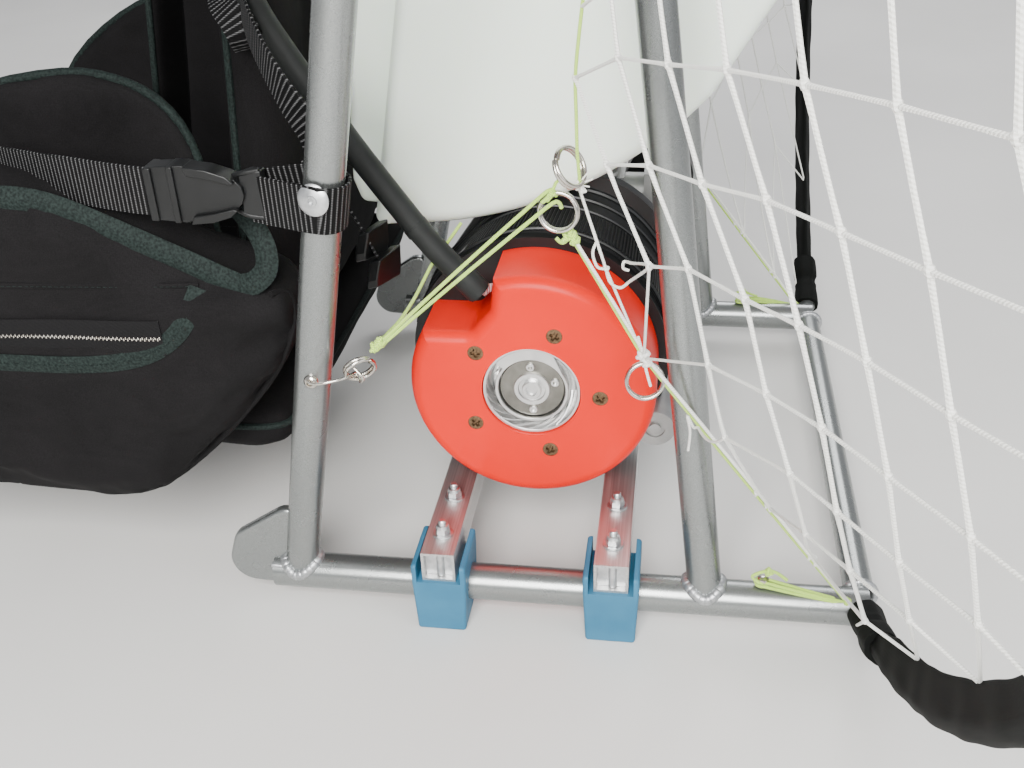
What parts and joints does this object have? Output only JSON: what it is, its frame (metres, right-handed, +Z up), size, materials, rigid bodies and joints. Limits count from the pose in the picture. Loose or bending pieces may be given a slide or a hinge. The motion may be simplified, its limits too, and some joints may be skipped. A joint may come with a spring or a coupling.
{
  "type": "paramotor",
  "caption": "Backpack powered-paraglider unit: tube frame with caged two-blade propeller, recoil-started engine, fuel tank, swing arms and padded harness.",
  "frame": {"origin": "on the floor below the middle of the whole model's box, which is the frame's mid-plane across and halfway from the seat's front to the propeller plate's bolts", "axes": "+Z up, +Y backwards towards the propeller, +X to the pilot's left (the starter's side); the pilot faces -Y"},
  "size_m": [1.414, 0.889, 1.392],
  "materials": {
    "frame": "satin silver-grey metallic paint",
    "bare_alloy": "mill finish, brushed",
    "blue_rubber": "matt steel-blue",
    "sleeve": "black woven sleeve",
    "tank": "translucent natural polyethylene",
    "black_plastic": "satin black",
    "black_rubber": "matt black",
    "red_plastic": "gloss red-orange",
    "machined": "turned",
    "cast_alloy": "as cast",
    "exhaust": "heat-proof matt paint",
    "steel": "turned",
    "prop_wood": "varnished laminated beech",
    "cordura": "black coarse weave",
    "webbing": "ribbed black and grey webbing",
    "stay_cord": "laid green cord"
  },
  "bodies": {
    "root": {"base_tubes": "frame", "rear_cross_tube": "frame", "front_uprights": "frame", "rear_uprights": "frame", "upper_cross_tubes": "frame", "side_braces": "frame", "engine_bars": "bare_alloy", "rubber_feet": "blue_rubber", "ring_stubs": "frame", "ring_lower_left": "sleeve", "ring_lower_right": "sleeve", "ring_upper_left": "sleeve", "ring_upper_right": "sleeve", "ring_spokes": "frame", "fuel_tank": "tank", "tank_cap": "black_plastic", "tank_lugs": "black_rubber", "starter_housing": "red_plastic", "starter_hub": "machined", "fan_shroud": "black_plastic", "crankcase": "cast_alloy", "cylinder": "cast_alloy", "cylinder_head": "cast_alloy", "plug_cap": "black_rubber", "carburettor": "cast_alloy", "air_filter": "black_plastic", "exhaust_pipe": "exhaust", "silencer": "exhaust", "drive_belt": "black_rubber", "gearbox": "cast_alloy", "gearbox_carrier": "bare_alloy", "starter_hose": "black_rubber", "pull_handle": "red_plastic", "hose_clips": "black_plastic", "arm_brackets": "frame", "seat_cushion": "cordura", "back_pad": "cordura", "side_bag_left": "cordura", "side_bag_right": "cordura", "shoulder_straps": "cordura", "frame_straps": "webbing", "side_buckles": "black_plastic", "net_stays": "stay_cord"},
    "propeller": {"propeller": "prop_wood", "propeller_shaft": "steel", "propeller_plate": "machined"},
    "upper_pulley": {"upper_pulley": "machined"},
    "clutch": {"clutch_drum": "steel"},
    "arm_left": {"swing_arm_left": "bare_alloy"},
    "arm_right": {"swing_arm_right": "bare_alloy"}
  },
  "joints": [
    {"name": "propeller_spin", "type": "hinge", "parent": "root", "child": "propeller", "pos_m": [0, 0.4155, 0.68499], "axis": [0, 1, 0], "continuous": true},
    {"name": "upper_pulley_spin", "type": "hinge", "parent": "root", "child": "upper_pulley", "pos_m": [-0.121, 0.2835, 0.68499], "axis": [1, 0, 0], "continuous": true},
    {"name": "clutch_spin", "type": "hinge", "parent": "root", "child": "clutch", "pos_m": [-0.121, 0.1325, 0.1655], "axis": [1, 0, 0], "continuous": true},
    {"name": "arm_left_lift", "type": "hinge", "parent": "root", "child": "arm_left", "pos_m": [0.31378, 0.05851, 0.52], "axis": [-1, 0, 0], "range_deg": [0, 60]},
    {"name": "arm_right_lift", "type": "hinge", "parent": "root", "child": "arm_right", "pos_m": [-0.31378, 0.05851, 0.52], "axis": [-1, 0, 0], "range_deg": [0, 60]}
  ],
  "couplings": [
    {"joint": "upper_pulley_spin", "follows": "propeller_spin", "ratio": 1},
    {"joint": "clutch_spin", "follows": "propeller_spin", "ratio": 2.1745}
  ]
}
